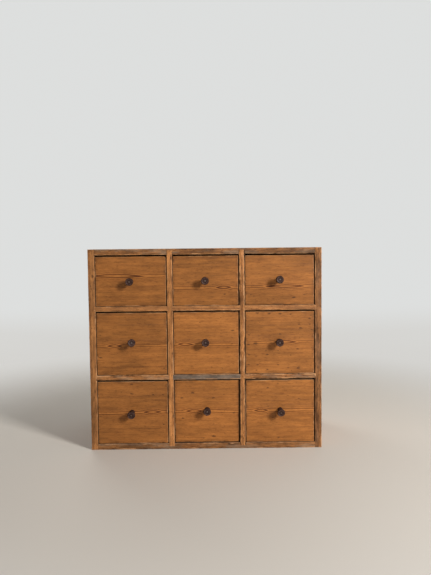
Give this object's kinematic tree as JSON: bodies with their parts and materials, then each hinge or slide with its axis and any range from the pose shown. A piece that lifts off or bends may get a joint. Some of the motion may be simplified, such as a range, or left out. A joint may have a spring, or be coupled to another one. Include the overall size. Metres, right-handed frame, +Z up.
{
  "type": "apothecary cabinet",
  "caption": "Free-standing pine apothecary cabinet: a board carcass of square bays, each with a dovetailed drawer that slides out by a turned dark knob.",
  "frame": {"origin": "middle of the carcass's underside, on the floor", "axes": "+Z up, +X to the right as seen from the front, -Y towards the user, so the drawers slide out along -Y"},
  "size_m": [0.92, 0.4377, 0.8],
  "materials": {
    "carcass_pine": "old wax over pine, worn on the edges",
    "front_pine": "old wax over pine, warm orange brown",
    "grey_rail": "bare pine, weathered grey",
    "inner_pine": "unfinished pine, sawn",
    "drawer_pine": "unfinished pine, planed",
    "knob_wood": "dark stained turned wood, with a small iron screw",
    "nail_iron": "dull iron"
  },
  "bodies": {
    "carcass": {"side_left": "carcass_pine", "side_right": "carcass_pine", "top_board": "carcass_pine", "bottom_board": "carcass_pine", "divider_left": "carcass_pine", "divider_right": "carcass_pine", "upper_rails": "carcass_pine", "lower_rail_left": "carcass_pine", "lower_rail_right": "carcass_pine", "lower_rail_centre": "grey_rail", "runners": "inner_pine", "drawer_stops": "inner_pine", "back_boards": "inner_pine", "carcass_nails": "nail_iron", "back_nails": "nail_iron"},
    "drawer_top_left": {"drawer_top_left_front": "front_pine", "drawer_top_left_sides": "drawer_pine", "drawer_top_left_back": "drawer_pine", "drawer_top_left_bottom": "drawer_pine", "drawer_top_left_knob": "knob_wood"},
    "drawer_top_centre": {"drawer_top_centre_front": "front_pine", "drawer_top_centre_sides": "drawer_pine", "drawer_top_centre_back": "drawer_pine", "drawer_top_centre_bottom": "drawer_pine", "drawer_top_centre_knob": "knob_wood"},
    "drawer_top_right": {"drawer_top_right_front": "front_pine", "drawer_top_right_sides": "drawer_pine", "drawer_top_right_back": "drawer_pine", "drawer_top_right_bottom": "drawer_pine", "drawer_top_right_knob": "knob_wood"},
    "drawer_middle_left": {"drawer_middle_left_front": "front_pine", "drawer_middle_left_sides": "drawer_pine", "drawer_middle_left_back": "drawer_pine", "drawer_middle_left_bottom": "drawer_pine", "drawer_middle_left_knob": "knob_wood"},
    "drawer_middle_centre": {"drawer_middle_centre_front": "front_pine", "drawer_middle_centre_sides": "drawer_pine", "drawer_middle_centre_back": "drawer_pine", "drawer_middle_centre_bottom": "drawer_pine", "drawer_middle_centre_knob": "knob_wood"},
    "drawer_middle_right": {"drawer_middle_right_front": "front_pine", "drawer_middle_right_sides": "drawer_pine", "drawer_middle_right_back": "drawer_pine", "drawer_middle_right_bottom": "drawer_pine", "drawer_middle_right_knob": "knob_wood"},
    "drawer_bottom_left": {"drawer_bottom_left_front": "front_pine", "drawer_bottom_left_sides": "drawer_pine", "drawer_bottom_left_back": "drawer_pine", "drawer_bottom_left_bottom": "drawer_pine", "drawer_bottom_left_knob": "knob_wood"},
    "drawer_bottom_centre": {"drawer_bottom_centre_front": "front_pine", "drawer_bottom_centre_sides": "drawer_pine", "drawer_bottom_centre_back": "drawer_pine", "drawer_bottom_centre_bottom": "drawer_pine", "drawer_bottom_centre_knob": "knob_wood"},
    "drawer_bottom_right": {"drawer_bottom_right_front": "front_pine", "drawer_bottom_right_sides": "drawer_pine", "drawer_bottom_right_back": "drawer_pine", "drawer_bottom_right_bottom": "drawer_pine", "drawer_bottom_right_knob": "knob_wood"}
  },
  "joints": [
    {"name": "drawer_top_left_slide", "type": "slide", "parent": "carcass", "child": "drawer_top_left", "axis": [0, -1, 0], "range_m": [0, 0.28]},
    {"name": "drawer_top_centre_slide", "type": "slide", "parent": "carcass", "child": "drawer_top_centre", "axis": [0, -1, 0], "range_m": [0, 0.28]},
    {"name": "drawer_top_right_slide", "type": "slide", "parent": "carcass", "child": "drawer_top_right", "axis": [0, -1, 0], "range_m": [0, 0.28]},
    {"name": "drawer_middle_left_slide", "type": "slide", "parent": "carcass", "child": "drawer_middle_left", "axis": [0, -1, 0], "range_m": [0, 0.28]},
    {"name": "drawer_middle_centre_slide", "type": "slide", "parent": "carcass", "child": "drawer_middle_centre", "axis": [0, -1, 0], "range_m": [0, 0.28]},
    {"name": "drawer_middle_right_slide", "type": "slide", "parent": "carcass", "child": "drawer_middle_right", "axis": [0, -1, 0], "range_m": [0, 0.28]},
    {"name": "drawer_bottom_left_slide", "type": "slide", "parent": "carcass", "child": "drawer_bottom_left", "axis": [0, -1, 0], "range_m": [0, 0.28]},
    {"name": "drawer_bottom_centre_slide", "type": "slide", "parent": "carcass", "child": "drawer_bottom_centre", "axis": [0, -1, 0], "range_m": [0, 0.28]},
    {"name": "drawer_bottom_right_slide", "type": "slide", "parent": "carcass", "child": "drawer_bottom_right", "axis": [0, -1, 0], "range_m": [0, 0.28]}
  ]
}
